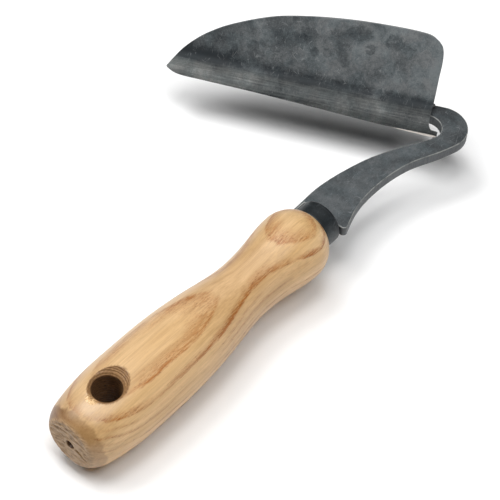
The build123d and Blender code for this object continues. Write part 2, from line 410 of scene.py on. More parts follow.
def handle():
    def wobble(r, y, a):
        p = (r * math.cos(a), y, r * math.sin(a))
        broad, fine = waver(p, (0.12, 0.06, 0.12), 5.0), waver(p, (0.5, 0.2, 0.5), 8.0)
        sanding = 0.035 * broad + 0.012 * fine - 0.045
        return sanding if 0.2 < y < SHOULDER[1] - 0.5 else 0.0

    obj = lathe("handle_wood", handle_profile(), 224, wobble)
    outward(obj)
    carve_handle(obj)
    co = coords(obj)
    # torn end grain on the butt face: grooves that follow the growth rings
    r = np.hypot(co[:, 0], co[:, 2])
    flat = (co[:, 1] < 0.35) & (r > 2.1) & (r < BUTT_R + 1.5)
    for i in np.nonzero(flat)[0]:
        x, y, z = co[i]
        fade = min(1.0, max(0.0, (BUTT_R + 0.8 - r[i]) / 1.2)) * min(1.0, max(0.0, (r[i] - 2.1) / 1.3))
        groove = waver((x, 0, z + 0.03 * x * x), (0.16, 0, 0.70), 11.0)
        fine = waver((x, 0, z), (0.5, 0, 1.9), 17.0)
        co[i, 1] += fade * max(0.0, 0.12 + 0.70 * groove + 0.22 * fine)
    # the lathe centre left an uneven mark
    near = np.clip((2.6 - r) / 1.2, 0, 1) * (co[:, 1] < 4)
    turn = np.arctan2(co[:, 2], co[:, 0])
    oval, corner, ragged = np.cos(2 * turn + 0.6), np.cos(3 * turn + 1.1), np.cos(7 * turn)
    swing = 1 + near * (0.16 * oval + 0.10 * corner + 0.05 * ragged)
    co[:, 0] *= swing
    co[:, 2] *= swing
    # chips torn from the near lip of the hole: where each lies from the hole, how wide and how deep
    top = co[:, 2] > 12
    chips = ((0.2, -7.4, 2.0, 0.75), (-2.2, -7.0, 1.4, 0.45), (2.3, -7.3, 1.0, 0.35))
    for at_x, at_y, wide, deep in chips:
        rim = np.hypot(co[:, 0] - at_x, (co[:, 1] - HOLE_Y - at_y) * 1.3)
        dip = np.clip(1 - rim / wide, 0, 1) ** 0.7
        co[:, 2] -= np.where(top, deep * dip * (0.75 + 0.45 * np.sin(co[:, 0] * 8)), 0)
    put_coords(obj, co)
    obj.data.polygons.foreach_set("use_smooth", [True] * len(obj.data.polygons))
    obj.data.set_sharp_from_angle(angle=math.radians(38))
    co = coords(obj)
    r = np.hypot(co[:, 0], co[:, 1] - HOLE_Y)
    over = r - HOLE_R - hole_flare(co[:, 2])
    point_values(obj, "hole", np.clip(1 - (over - 0.28) / 0.2, 0, 1))
    point_values(obj, "sink", np.clip((np.abs(co[:, 2]) - SINK_START + 0.4) / 0.6, 0, 1))
    radius = np.hypot(co[:, 0], co[:, 2])
    butt = np.clip((1.3 - co[:, 1]) / 0.7, 0, 1) * (radius < BUTT_R + 2.5)
    point_values(obj, "butt", np.where(radius < 1.8, 0, butt))
    point_values(obj, "mark", (radius < 1.9) & (co[:, 1] < 5) & (co[:, 1] > 0.1))
    stand_for(obj, "handle")
    obj.data.materials.clear()
    obj.data.materials.append(ash())
    return obj


# dark growth lines: how far each lies above the handle's axis in mm, how dark it is, and how far it fades
# upward in mm
GROWTH = [
    (-14.2, 0.36, 1.0), (-10.9, 0.42, 1.4), (-6.9, 0.34, 1.1), (-3.6, 0.44, 1.5), (0.4, 0.55, 1.2),
    (2.9, 0.26, 0.8), (5.2, 0.46, 1.0), (7.7, 0.30, 0.9), (10.5, 0.95, 1.7), (14.75, 0.72, 2.1),
]
GROWTH_REACH = 18.0               # the lines above lie within this many mm of the axis
PITH = (4.8, -54.8)               # middle of the growth rings, as (x, z) in mm
PITH_FAR = 55.0                   # how far from the pith a line of height 0 lies, in mm
SPLINTER_AT = (-0.4, -8.3)        # middle of the torn spot beside the hole, as (x, y) in mm
SPLINTER_SIZE = (2.9, 1.7)        # its half width and half length in mm


def ash():
    k = Look("ash_wood")
    p = k.position()
    x, y, z = k.split(p)[:3]
    # growth rings: distance from a pith far below the handle, drifting along its length
    slow = k.noise(k.stretch(p, (0.045, 0.016, 0.045), shift=(3.1, 1.7, 0.4)), 1.0, 1.0)
    wander = k.noise(k.stretch(p, (0.30, 0.05, 0.30), shift=(7.0, 0.0, 2.0)), 1.0, 3.0)
    dx = k.math("SUBTRACT", x, PITH[0])
    dz = k.math("SUBTRACT", z, PITH[1])
    far = k.hypot(dx, dz)
    depth = k.math("SUBTRACT", far, PITH_FAR)
    near_butt = k.math("POWER", k.span(y, -18.0, 16.0, 1.0, 0.0, "LINEAR"), 2.0)
    depth = k.math("SUBTRACT", depth, k.math("MULTIPLY", near_butt, 4.6))
    near_head = k.math("POWER", k.span(y, 87.0, 109.0, 0.0, 1.0, "LINEAR"), 2.0)
    depth = k.math("ADD", depth, k.math("MULTIPLY", near_head, 2.0))
    depth = k.nudge(depth, slow, 1.6)
    depth = k.nudge(depth, wander, 1.5)
    frizz = k.noise(k.stretch(p, (1.3, 0.35, 1.3), shift=(4.0, 6.0, 3.0)), 1.0, 3.0, 0.7)
    depth = k.nudge(depth, frizz, 0.9)
    stops = [(0.0, (0, 0, 0))]
    for at, dark, wide in GROWTH:
        for d, v in ((-0.45, 0.0), (0.0, dark), (wide, 0.0)):
            stops.append(((at + d + GROWTH_REACH) / (2 * GROWTH_REACH), (v, v, v)))
    line = k.ramp(k.span(depth, -GROWTH_REACH, GROWTH_REACH, kind="LINEAR"), stops)
    uneven = k.noise(k.stretch(p, (0.12, 0.02, 0.12), shift=(2.0, 8.0, 5.0)), 1.0, 2.0)
    fringe = k.noise(k.stretch(p, (1.9, 0.16, 1.9), shift=(9.0, 2.0, 1.0)), 1.0, 4.0, 0.65)
    line = k.math("MULTIPLY", line, k.span(uneven, 0.35, 0.62, 0.25, 1.1))
    line = k.math("MULTIPLY", line, k.span(fringe, 0.34, 0.60, 0.30, 1.3), clamp=True)
    warm = k.noise(k.stretch(p, (0.10, 0.012, 0.10), shift=(6.0, 3.0, 8.0)), 1.0, 2.0)
    pale = k.mix(k.span(warm, 0.35, 0.65), rgb(211, 177, 132), rgb(197, 161, 112))
    base = k.mix(line, pale, rgb(160, 98, 36))
    # fibres and pores run along the handle
    streak = k.noise(k.stretch(p, (1.7, 0.05, 1.7)), 1.0, 4.0, 0.6)
    fibres = k.ramp(streak, [(0.3, (0.70, 0.65, 0.57)), (0.7, (1.1, 1.1, 1.1))])
    colour = k.mix(0.6, base, fibres, "MULTIPLY")
    bands = k.noise(k.stretch(p, (0.35, 0.014, 0.35), shift=(1.0, 5.0, 9.0)), 1.0, 2.0)
    broad = k.ramp(bands, [(0.3, (0.84, 0.80, 0.74)), (0.7, (1.06, 1.06, 1.06))])
    colour = k.mix(0.55, colour, broad, "MULTIPLY")
    # a shade darker round the waist, creamier on top of the head, and painted light across it: paler towards
    # the right-hand side and darker on the left
    waist = k.math("MULTIPLY", k.span(y, 35.0, 62.0), k.span(y, 82.0, 100.0, 1.0, 0.0))
    colour = k.mix(waist, colour, k.tint(colour, (0.91, 0.90, 0.92)))
    head = k.math("MULTIPLY", k.span(y, 100.0, 112.0), k.span(z, 4.0, 12.0))
    colour = k.mix(head, colour, k.tint(colour, (1.05, 1.10, 1.20)))
    # painted light: the right-hand side lit paler, the left side shaded darker
    bounce_lit_right = k.span(x, -14.0, 16.0, kind="LINEAR")
    colour = k.mix(bounce_lit_right, k.tint(colour, (0.90, 0.90, 0.92)),
                   k.tint(colour, (1.14, 1.12, 1.07)))
    early = k.math("MULTIPLY_ADD", line, 1.5, 0.10, clamp=True)
    pore = k.noise(k.stretch(p, (3.4, 0.8, 3.4)), 1.0, 1.0)
    pore = k.math("MULTIPLY", k.span(pore, 0.56, 0.70), early)
    colour = k.mix(k.math("MULTIPLY", pore, 0.66), colour, rgb(118, 72, 32))
    # the rounded butt is darker, partly from soaking up more finish and partly painted shade that is stronger
    # on its left side, with a ragged edge; its flat face is torn end grain
    ragged = k.nudge(y, wander, 5.0)
    soaked_and_shaded = k.math("ADD", k.span(ragged, -16.3, -14.7, 0.62, 0.0), k.span(y, -14.0, -4.0, 0.22, 0.0))
    # painted shade: the darkening is stronger on the butt's left side
    shade_on_left = k.span(x, -12.0, 4.0, 1.25, 0.75)
    soaked_and_shaded = k.math("MULTIPLY", soaked_and_shaded, shade_on_left, clamp=True)
    colour = k.mix(soaked_and_shaded, colour, k.tint(colour, (0.40, 0.32, 0.24)))
    butt = k.value_of("butt")
    torn = k.noise(k.warp(k.stretch(p, (0.42, 0.3, 1.7)), 0.6, 0.5), 1.0, 4.0, 0.62)
    end_grain = k.ramp(torn, [(0.30, rgb(92, 66, 42)), (0.42, rgb(146, 115, 80)),
                              (0.68, rgb(194, 160, 120))])
    colour = k.mix(k.math("MULTIPLY", butt, 0.92), colour, end_grain)
    colour = k.mix(k.value_of("mark"), colour, rgb(112, 84, 58))
    # splinters torn out beside the near lip of the hole
    torn_at = k.noise(k.stretch(p, (1.1, 0.6, 1.1), shift=(2.0, 2.0, 6.0)), 1.0, 3.0, 0.6)
    cx = k.math("MULTIPLY", k.math("SUBTRACT", x, SPLINTER_AT[0]), 1 / SPLINTER_SIZE[0])
    cy = k.math("MULTIPLY", k.math("SUBTRACT", y, SPLINTER_AT[1]), 1 / SPLINTER_SIZE[1])
    spot = k.hypot(cx, cy)
    spot = k.nudge(spot, torn_at, 1.6)
    chip = k.math("MULTIPLY", k.span(spot, 0.70, 0.95, 1.0, 0.0), k.span(z, 8.0, 10.0))
    splinter = k.noise(k.stretch(p, (2.6, 0.45, 2.6), shift=(1.0, 1.0, 1.0)), 1.0, 3.0, 0.6)
    fresh = k.ramp(splinter, [(0.36, rgb(150, 102, 58)), (0.50, rgb(222, 184, 132)),
                              (0.66, rgb(240, 212, 168))])
    colour = k.mix(k.math("MULTIPLY", chip, 0.9), colour, fresh)
    # hole wall: dark brown, partly scorched by the drill and partly painted shade deep in the hole; paler
    # frayed countersink
    wall = k.noise(k.stretch(p, (0.7, 0.7, 3.2)), 1.0, 4.0, 0.6)
    burnt_and_shaded = k.ramp(wall, [(0.30, rgb(56, 34, 16)), (0.70, rgb(150, 108, 66))])
    frayed = k.ramp(k.noise(k.stretch(p, (1.2, 1.2, 4.0)), 1.0, 5.0, 0.7),
                    [(0.3, rgb(98, 66, 36)), (0.7, rgb(168, 128, 82))])
    hole = k.value_of("hole")
    colour = k.mix(hole, colour, k.mix(k.value_of("sink"), burnt_and_shaded, frayed))
    shine = k.math("MULTIPLY_ADD", hole, 0.3, k.span(streak, 0.3, 0.7, 0.40, 0.52))
    shine = k.math("MULTIPLY_ADD", butt, 0.25, shine, clamp=True)
    grain = k.math("MULTIPLY_ADD", pore, -1.0, k.math("MULTIPLY", streak, 0.35))
    grain = k.math("MULTIPLY_ADD", k.math("MULTIPLY", hole, wall), 3.0, grain)
    grain = k.math("MULTIPLY_ADD", k.math("MULTIPLY", butt, torn), 5.0, grain)
    grain = k.math("MULTIPLY_ADD", k.math("MULTIPLY", chip, splinter), -6.0, grain)
    shine = k.math("MULTIPLY_ADD", chip, 0.3, shine, clamp=True)
    k.finish(Base_Color=colour, Roughness=shine, Normal=k.bump(grain, 0.05, strength=0.7))
    k.shader.inputs["Coat Weight"].default_value = 0.3
    k.shader.inputs["Coat Roughness"].default_value = 0.28
    k.shader.inputs["Specular IOR Level"].default_value = 0.45
    return k.mat


# ---- steel -------------------------------------------------------------------------------------------
def steel(name, dark, mid, light, flat=None, drift=None, blotches=(), rough=0.55, metal=0.35,
          marks=1.0, edge=None, bare=None, gloss=0.5):
    """Dark forge scale: cloudy patches, darker blots, curved hair scratches, pale specks, worn edges.

    flat: names of the two attributes that lay the sheet out flat, along it and up it.
    drift: painted light and shade along the blade: how much paler the wing is at its right and left ends,
    then the band at its right and left ends.
    blotches: (along, up, half width, half height, how dark) of single dark spots.
    bare: the colour of ground metal, where the attribute "ground" says so.
    """
    k = Look(name)
    p = k.position()
    x, y = k.split(p)[:2]
    across, up = (k.value_of(flat[0]), k.value_of(flat[1])) if flat else (x, y)
    plane = k.join(across, up, 0.0) if flat else p
    cloud = k.noise(plane, 0.07, 3.0, 0.55, 0.6)
    patch = k.noise(k.moved(plane, (40, 10, 5)), 0.30, 3.0, 0.6, 0.3)
    speck = k.noise(plane, 1.9, 3.0, 0.6)
    small = k.noise(k.moved(plane, (14, 3, 25)), 0.75, 3.0, 0.65, 0.4)
    tone = k.nudge(cloud, patch, 0.36)
    tone = k.nudge(tone, small, 0.42)
    tone = k.nudge(tone, speck, 0.46)
    if drift:
        wing = k.span(up, 3.0, 7.0)
        # the drawn band is less cloudy than the wing
        tone = k.math("MULTIPLY_ADD", k.math("SUBTRACT", tone, 0.5), k.span(up, 1.0, 5.0, 0.62, 1.0), 0.5)
        # painted light and shade along the blade: the wing paler towards its right end, the band darker there
        along_wing = k.span(across, 5.0, 105.0, drift[0], drift[1], "LINEAR")
        along_band = k.span(across, 0.0, 100.0, drift[2], drift[3], "LINEAR")
        apart = k.math("SUBTRACT", along_wing, along_band)
        lit_drift = k.math("ADD", k.math("MULTIPLY", apart, wing), along_band)
        tone = k.math("ADD", tone, lit_drift)
        # painted shade along the crease, standing in for the dark reflection there, deeper towards the tip
        fold = k.math("MULTIPLY", k.span(up, -0.5, 3.2), k.span(up, 3.4, 8.4, 1.0, 0.0))
        painted_crease_shade = k.span(across, 0.0, 100.0, 0.15, 0.32, "LINEAR")
        tone = k.math("SUBTRACT", tone, k.math("MULTIPLY", fold, painted_crease_shade))
        # painted shade just above the crease, deepening towards the tip
        shade_above_crease = k.span(across, 45.0, 110.0, 0.0, 0.16, "LINEAR")
        shade_above_crease = k.math("MULTIPLY", shade_above_crease, k.span(up, 5.0, 15.0, 1.0, 0.0))
        tone = k.math("SUBTRACT", tone, k.math("MULTIPLY", shade_above_crease, k.span(up, 1.0, 4.0)))
        # drawing marks run along the band
        drawn = k.noise(k.stretch(plane, (0.05, 1.5, 1.0)), 1.0, 3.0, 0.6)
        drawn = k.math("MULTIPLY", k.math("SUBTRACT", drawn, 0.5), k.span(up, 1.5, 4.5, 0.52, 0.0))
        tone = k.math("ADD", tone, drawn)
    if blotches:
        ragged = k.math("MULTIPLY", k.math("SUBTRACT", k.noise(plane, 0.55, 3.0), 0.5), 0.8)
        for at_s, at_h, wide, tall, force in blotches:
            ds = k.math("MULTIPLY", k.math("SUBTRACT", across, at_s), 1 / wide)
            dh = k.math("MULTIPLY", k.math("SUBTRACT", up, at_h), 1 / tall)
            d = k.hypot(ds, dh)
            tone = k.math("SUBTRACT", tone, k.span(k.math("ADD", d, ragged), 0.72, 1.08, force, 0.0))
    colour = k.ramp(tone, [(0.20, dark), (0.50, mid), (0.80, light)])
    if drift:
        warm = k.tint(colour, (1.06, 1.0, 0.93))
        colour = k.mix(k.span(up, 0.0, 4.0, 0.9, 0.0), colour, warm)
    tinge = k.noise(k.moved(plane, (11, 5, 70)), 0.14, 3.0)
    colour = k.mix(k.span(tinge, 0.42, 0.60, 0.0, 0.5), colour, k.tint(colour, (0.90, 1.0, 1.03)))
    # hair scratches in three sizes and directions, then two sizes of specks
    pale = tuple(c * 1.75 + 0.02 for c in light)
    hairs = ((0.14, 0.014, 0.5, 0.0), (0.24, 0.020, -0.9, 47.0), (0.37, 0.026, 2.1, 90.0))
    for scale, wide, turn, seed in hairs:
        v = k.stretch(plane, (1.0, 0.35, 1.0), turn=(0, 0, turn), shift=(seed, seed, 0))
        v = k.warp(v, 0.05, 1.6)
        hair = k.span(k.cells(v, scale, "DISTANCE_TO_EDGE"), 0.0, wide, 0.40 * marks, 0.0)
        where = k.span(k.noise(k.moved(plane, (seed, 9, 3)), 0.30, 3.0), 0.55, 0.66)
        seen = k.math("MULTIPLY", hair, where)
        if drift:
            seen = k.math("MULTIPLY", seen, k.span(up, 0.0, 5.0, 0.30, 1.0))
        colour = k.mix(seen, colour, pale)
    for scale, wide, seed, force in ((0.55, 0.11, 5.0, 0.60), (1.1, 0.17, 19.0, 0.45)):
        dust = k.span(k.cells(plane, scale), 0.03, wide, force * marks, 0.0)
        where = k.span(k.noise(k.moved(plane, (seed, 60, 3)), 0.30, 2.0), 0.50, 0.60)
        colour = k.mix(k.math("MULTIPLY", dust, where), colour, pale)
    if edge:
        rubbed = k.span(k.noise(p, 0.35, 4.0, 0.6), 0.34, 0.60, 0.25, 0.9)
        worn = k.math("MULTIPLY", k.value_of("edge"), rubbed)
        colour = k.mix(worn, colour, edge)
        side = k.value_of("side")
        lines = k.noise(k.stretch(p, (2.2, 2.2, 0.16)), 1.0, 3.0, 0.6)
        dim, bright = tuple(c * 0.62 for c in light), tuple(c * 1.12 for c in light)
        cut = k.ramp(lines, [(0.32, dim), (0.68, bright)])
        colour = k.mix(k.math("MULTIPLY", side, 0.7), colour, cut)
    if bare:
        grind = k.noise(k.stretch(plane, (0.5, 4.0, 1.0)), 1.0, 3.0)
        ground = k.value_of("ground")
        colour = k.mix(ground, colour, k.ramp(grind, [(0.3, tuple(c * 0.8 for c in bare)), (0.7, bare)]))
    shine = k.span(tone, 0.2, 0.8, rough + 0.08, rough - 0.08, "LINEAR")
    if bare:
        shine = k.math("MULTIPLY_ADD", ground, -0.3, shine)
        k.feed(k.shader.inputs["Metallic"], k.math("MULTIPLY_ADD", ground, 1.0 - metal, metal))
    height = k.math("MULTIPLY_ADD", speck, 0.5, k.math("MULTIPLY", patch, 0.6))
    if edge:
        height = k.math("MULTIPLY_ADD", k.math("MULTIPLY", side, lines), 1.6, height)
    k.finish(Base_Color=colour, Roughness=shine, Normal=k.bump(height, 0.045, strength=0.5))
    k.shader.inputs["Specular IOR Level"].default_value = gloss
    if not bare:
        k.shader.inputs["Metallic"].default_value = metal
    return k.mat


def ferrule():
    """The cap, as a closed turned body with a rounded front edge."""
    rounding = [(CAP_R - CAP_ROUND * (1 - math.cos(a)), CAP_END - CAP_ROUND * (1 - math.sin(a)))
                for a in np.linspace(0, math.pi / 2, 10)]
    foot = SHOULDER[1] + 0.06
    line = [(0, foot), (8.4, foot), (CAP_R - 0.5, foot),
            (CAP_R - 0.18, foot + 0.08), (CAP_R - 0.03, foot + 0.3)]
    # fine turning rings along the wall
    for i, y in enumerate(np.linspace(foot + 0.6, CAP_WALL_END, 20)):
        line.append((CAP_R - 0.015 - 0.02 * (i % 2), y))
    line += rounding + [(r, CAP_END) for r in (8.0, 6.5, 4.0, 2.0)] + [(0, CAP_END)]

    def wobble(r, y, a):
        return 0.03 * waver((r * math.cos(a), y, r * math.sin(a)), (0.3, 0.3, 0.3), 2.0) - 0.03

    obj = lathe("ferrule_cap", line, 128, wobble)
    outward(obj)
    obj.data.set_sharp_from_angle(angle=math.radians(50))
    stand_for(obj, "ferrule")
    obj.data.materials.append(steel(
        "cap_steel", rgb(22, 25, 27), rgb(38, 42, 44), rgb(58, 62, 65), rough=0.38, metal=0.4, marks=1.0))
    return obj


def shank():
    """The CAD plate's own mesh, copied, with its edges broken and marks for the edge and cut-side faces."""
    b = bmesh.new()
    b.from_mesh(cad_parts["shank"].data)
    bmesh.ops.remove_doubles(b, verts=b.verts, dist=2e-6)
    bmesh.ops.dissolve_limit(b, angle_limit=math.radians(0.4), verts=b.verts, edges=b.edges)
    rear = PLATE_SHOWS - HOLE_Y
    sharp = [e for e in b.edges if len(e.link_faces) == 2 and e.calc_face_angle(0) > math.radians(50)
             and abs(e.link_faces[0].normal.z - e.link_faces[1].normal.z) > 0.5
             and max(v.co.y for v in e.verts) > rear * MM]
    done = bmesh.ops.bevel(b, geom=sharp, offset=0.34 * MM, offset_type="OFFSET", segments=3,
                           profile=0.55, affect="EDGES", clamp_overlap=True)
    edge_faces = set(done["faces"])
    for f in b.faces:
        f.material_index = 1 if f in edge_faces else (2 if abs(f.normal.z) < 0.4 else 0)
        f.smooth = True
    big = [f for f in b.faces if len(f.verts) > 4]
    bmesh.ops.triangulate(b, faces=big, ngon_method="BEAUTY")
    mesh = bpy.data.meshes.new("shank_plate")
    b.to_mesh(mesh)
    b.free()
    obj = bpy.data.objects.new("shank_plate", mesh)
    bpy.context.scene.collection.objects.link(obj)
    kind = np.zeros(len(mesh.polygons), np.int32)
    mesh.polygons.foreach_get("material_index", kind)
    for name, number in (("edge", 1), ("side", 2)):
        a = mesh.attributes.new(name, "FLOAT", "FACE")
        a.data.foreach_set("value", (kind == number).astype(np.float32))
    mesh.polygons.foreach_set("material_index", np.zeros_like(kind))
    mesh.materials.clear()
    mesh.set_sharp_from_angle(angle=math.radians(34))
    stand_for(obj, "shank")
    # a darker patch over the hook
    mesh.materials.append(steel(
        "plate_steel", rgb(54, 57, 59), rgb(78, 82, 84), rgb(102, 105, 107), rough=0.54,
        blotches=[(5.0, 197.0, 17.0, 12.0, 0.13)], marks=1.2, edge=rgb(146, 147, 144), gloss=0.4))
    return obj


# ---- blade -------------------------------------------------------------------------------------------
def blade_axes():
    """Two level directions: along the blade towards its tip, and across it towards the butt."""
    a = math.radians(180 + BLADE_TURN)
    return np.array([math.cos(a), math.sin(a), 0.0]), np.array([-math.sin(a), math.cos(a), 0.0])


def sheet_section():
    """Middle line of the sheet from the nose's end to the wing's top, and its upper normals.

    Both are given as (u, z): u runs across the blade towards the butt, and z runs up."""
    lean, fall = math.radians(WING_LEAN), math.radians(BAND_FALL)
    cut = CREASE_R * math.tan((math.pi / 2 - lean - fall) / 2)
    low = np.array([cut * math.cos(fall), CREASE_Z - cut * math.sin(fall)])
    start = np.array([BAND_FLAT * math.cos(fall), CREASE_Z - BAND_FLAT * math.sin(fall)])
    up_band = np.array([math.sin(fall), math.cos(fall)])
    up_wing = np.array([math.cos(lean), math.sin(lean)])
    pts, nor = [], []
    centre = start - NOSE_R * up_band
    for a in np.linspace(90 - BAND_FALL - NOSE_TURN, 90 - BAND_FALL, 40):
        n = np.array([math.cos(math.radians(a)), math.sin(math.radians(a))])
        pts.append(centre + NOSE_R * n)
        nor.append(n)
    for t in np.linspace(0, 1, 8)[1:]:
        pts.append(start + (low - start) * t)
        nor.append(up_band)
    centre = low + CREASE_R * up_band
    a0 = math.atan2(-up_band[1], -up_band[0])
    a1 = math.atan2(-up_wing[1], -up_wing[0])
    for a in np.linspace(a0, a1, 24)[1:]:
        n = np.array([math.cos(a), math.sin(a)])
        pts.append(centre + CREASE_R * n)
        nor.append(-n)
    top = np.array([-WING_H * math.sin(lean), CREASE_Z + WING_H * math.cos(lean)])
    foot = pts[-1]
    for t in np.linspace(0, 1, 60)[1:]:
        pts.append(foot + (top - foot) * t)
        nor.append(up_wing)
    return np.array(pts), np.array(nor)


def blade():
    """The formed sheet: an outline laid out flat as (along, height), then bent round the section."""
    pts, nor = sheet_section()
    seen = pts + nor * BLADE_T / 2
    height = (seen[:, 1] - seen[:, 0]) / math.sqrt(2)
    keep = np.concatenate([[True], np.diff(np.maximum.accumulate(height)) > 1e-6])
    pts, nor, height = pts[keep], nor[keep], height[keep]
    ahead, front = blade_axes()

    def place(s, h, lift):
        u = np.interp(h, height, pts[:, 0])
        z = np.interp(h, height, pts[:, 1])
        nu = np.interp(h, height, nor[:, 0])
        nz = np.interp(h, height, nor[:, 1])
        u, z = u + nu * lift, z + nz * lift
        base = np.array([BLADE_AT[0], BLADE_AT[1], 0.0])
        return base + np.outer(s, ahead) + np.outer(u, front) + np.outer(z, (0, 0, 1.0))

    cols, rows = 300, 96
    # the outline's four edges, each from the tip to the toe or from the bottom up
    low = smooth_line([(116.0, -3.5), (114.2, -4.7), (111.0, -5.8), (98.0, -6.3), (80.0, -6.7),
                       (55.0, -7.6), (30.0, -8.7), (10.0, -9.5), (-4.9, -10.1)], cols)
    top = smooth_line([(116.3, -3.0), (113.1, 3.6), (105.8, 11.4), (98.1, 16.9), (90.2, 21.0),
                       (74.2, 27.1), (57.9, 30.4), (41.3, 32.4), (24.6, 33.3), (11.0, 33.35),
                       (5.6, 32.72), (2.36, 30.94)], cols)
    right = smooth_line([(-4.9, -10.1), (-4.9, -8.5), (-3.0, -7.9), (-1.6, -6.5), (-0.75, -4.6),
                         (-0.5, -2.0), (-0.6, 6.0), (-0.6, 15.0), (-0.6, 24.0), (0.32, 28.15),
                         (2.36, 30.94)], rows)
    left = smooth_line([(116.0, -3.5), (116.2, -3.3), (116.3, -3.0)], rows)

    def inner(line, side, amount):
        """Steps from an edge line into the sheet, where its rounding or bevel begins."""
        d = np.gradient(line, axis=0)
        d /= np.linalg.norm(d, axis=1)[:, None] + 1e-9
        return np.stack([-d[:, 1], d[:, 0]], 1) * side * np.asarray(amount)[:, None]

    a = np.linspace(0, 1, cols)
    b = np.linspace(0, 1, rows)
    rounded = 0.28
    # the lower edge is ground back further towards the toe
    bevel = rounded + 1.15 * np.clip((17.0 - low[:, 0]) / 20.0, 0, 1)
    in_low = inner(low, -1, bevel)
    in_top = inner(top, 1, np.full(cols, rounded))
    in_right = inner(right, 1, np.full(rows, rounded))
    in_left = inner(left, -1, np.full(rows, rounded))

    def near(t, reach):
        return np.clip(1 - t / reach, 0, 1)[:, None]

    low_in = low + in_low + in_right[0] * near(1 - a, 0.03) + in_left[0] * near(a, 0.03)
    top_in = top + in_top + in_right[-1] * near(1 - a, 0.03) + in_left[-1] * near(a, 0.03)
    right_in = right + in_right + in_low[-1] * near(b, 0.12) + in_top[-1] * near(1 - b, 0.05)
    left_in = left + in_left + in_low[0] * near(b, 1.0) + in_top[0] * near(1 - b, 1.0)

    def patch(lo, hi, le, ri):
        """A grid of points that fills the space inside four edge lines."""
        A, B = a[:, None, None], b[None, :, None]
        lo[0], hi[0], lo[-1], hi[-1] = le[0], le[-1], ri[0], ri[-1]
        corner = ((1 - A) * (1 - B) * le[0] + (1 - A) * B * le[-1] + A * (1 - B) * ri[0] + A * B * ri[-1])
        return (1 - B) * lo[:, None] + B * hi[:, None] + (1 - A) * le[None] + A * ri[None] - corner

    inset = patch(low_in.copy(), top_in.copy(), left_in.copy(), right_in.copy())
    full = patch(low.copy(), top.copy(), left.copy(), right.copy())
    flat_in, flat_full = inset.reshape(-1, 2), full.reshape(-1, 2)
    index = np.arange(cols * rows).reshape(cols, rows)
    loop = np.concatenate([index[:, 0], index[-1, 1:], index[:-1, -1][::-1], index[0, 1:-1][::-1]])
    count = len(loop)
    on_low = np.concatenate([np.ones(cols), np.zeros(count - cols)])

    def band_faces(one, two):
        """A closed band of faces between two rings of points."""
        return [(one[i], two[i], two[(i + 1) % count], one[(i + 1) % count]) for i in range(count)]

    half = BLADE_T / 2
    upper = place(flat_in[:, 0], flat_in[:, 1], half)
    under = place(flat_in[:, 0], flat_in[:, 1], -half)
    # the formed sheet is never quite flat
    for i in range(len(upper)):
        s, h = flat_in[i]
        broad, fine = waver((s, h, 0), (0.045, 0.06, 0), 21.0), waver((s, h, 0), (0.2, 0.2, 0), 4.0)
        swell = 0.10 * broad + 0.03 * fine - 0.05
        fade = min(1.0, max(0.0, (h + 6) / 8)) * min(1.0, max(0.0, (33 - h) / 6))
        move = (upper[i] - under[i]) / BLADE_T * swell * fade
        upper[i] += move
        under[i] += move
    verts = [upper, under]
    faces = grid_faces(cols, rows) + grid_faces(cols, rows, start=cols * rows, flip=True)
    # rim: rounded where it was cut, and a ground bevel along the lower edge. Each step of a rim is how far
    # out it lies and how high, as shares of the inset and of half the thickness
    mid_in, mid_out = (upper + under)[loop] / 2, place(flat_full[loop, 0], flat_full[loop, 1], 0)
    out = mid_out - place(flat_in[loop, 0], flat_in[loop, 1], 0)
    lift = (upper - under)[loop] / 2
    round_steps = [(0.55, 0.88), (0.95, 0.5), (1.0, 0.0), (0.95, -0.5), (0.55, -0.88)]
    ground_steps = [(0.24, 0.86), (0.50, 0.72), (0.76, 0.58), (0.97, 0.42), (0.97, -0.55)]
    previous = loop
    total = 2 * cols * rows
    ring_ids = []
    for (rc, rs), (gc, gs) in zip(round_steps, ground_steps):
        c = np.where(on_low > 0, gc, rc)[:, None]
        v = np.where(on_low > 0, gs, rs)[:, None]
        verts.append(mid_in + out * c + lift * v)
        ids = np.arange(total, total + count)
        total += count
        ring_ids.append(ids)
        faces += band_faces(previous, ids)
        previous = ids
    faces += band_faces(previous, loop + cols * rows)
    verts = np.vstack(verts)
    faces = [tuple(int(q) for q in f) for f in faces]
    obj = make("blade_sheet", verts, faces)
    along = np.concatenate([flat_in[:, 0], flat_in[:, 0]] + [flat_full[loop, 0]] * len(ring_ids))
    tall = np.concatenate([flat_in[:, 1], flat_in[:, 1]] + [flat_full[loop, 1]] * len(ring_ids))
    ground = np.zeros(len(verts))
    reach = np.clip((16.5 - flat_full[loop, 0]) / 5.0, 0, 1) * on_low
    for ids in ring_ids[:4]:
        ground[ids] = reach
    rim = np.zeros(len(verts))
    for ids in ring_ids:
        rim[ids] = 1 - on_low
    point_values(obj, "along", along)
    point_values(obj, "height", tall)
    point_values(obj, "ground", ground)
    toe = np.clip((-2.5 - tall) / 2.0, 0, 1) * (along < 2)
    point_values(obj, "edge", rim * (0.6 + 0.9 * toe))
    point_values(obj, "side", rim * 0.2)
    sheet = obj.data
    m = bmesh.new()
    m.from_mesh(sheet)
    bmesh.ops.recalc_face_normals(m, faces=m.faces)
    m.to_mesh(sheet)
    m.free()
    sheet.polygons.foreach_set("use_smooth", [True] * len(sheet.polygons))
    sheet.set_sharp_from_angle(angle=math.radians(40))
    stand_for(obj, "blade")
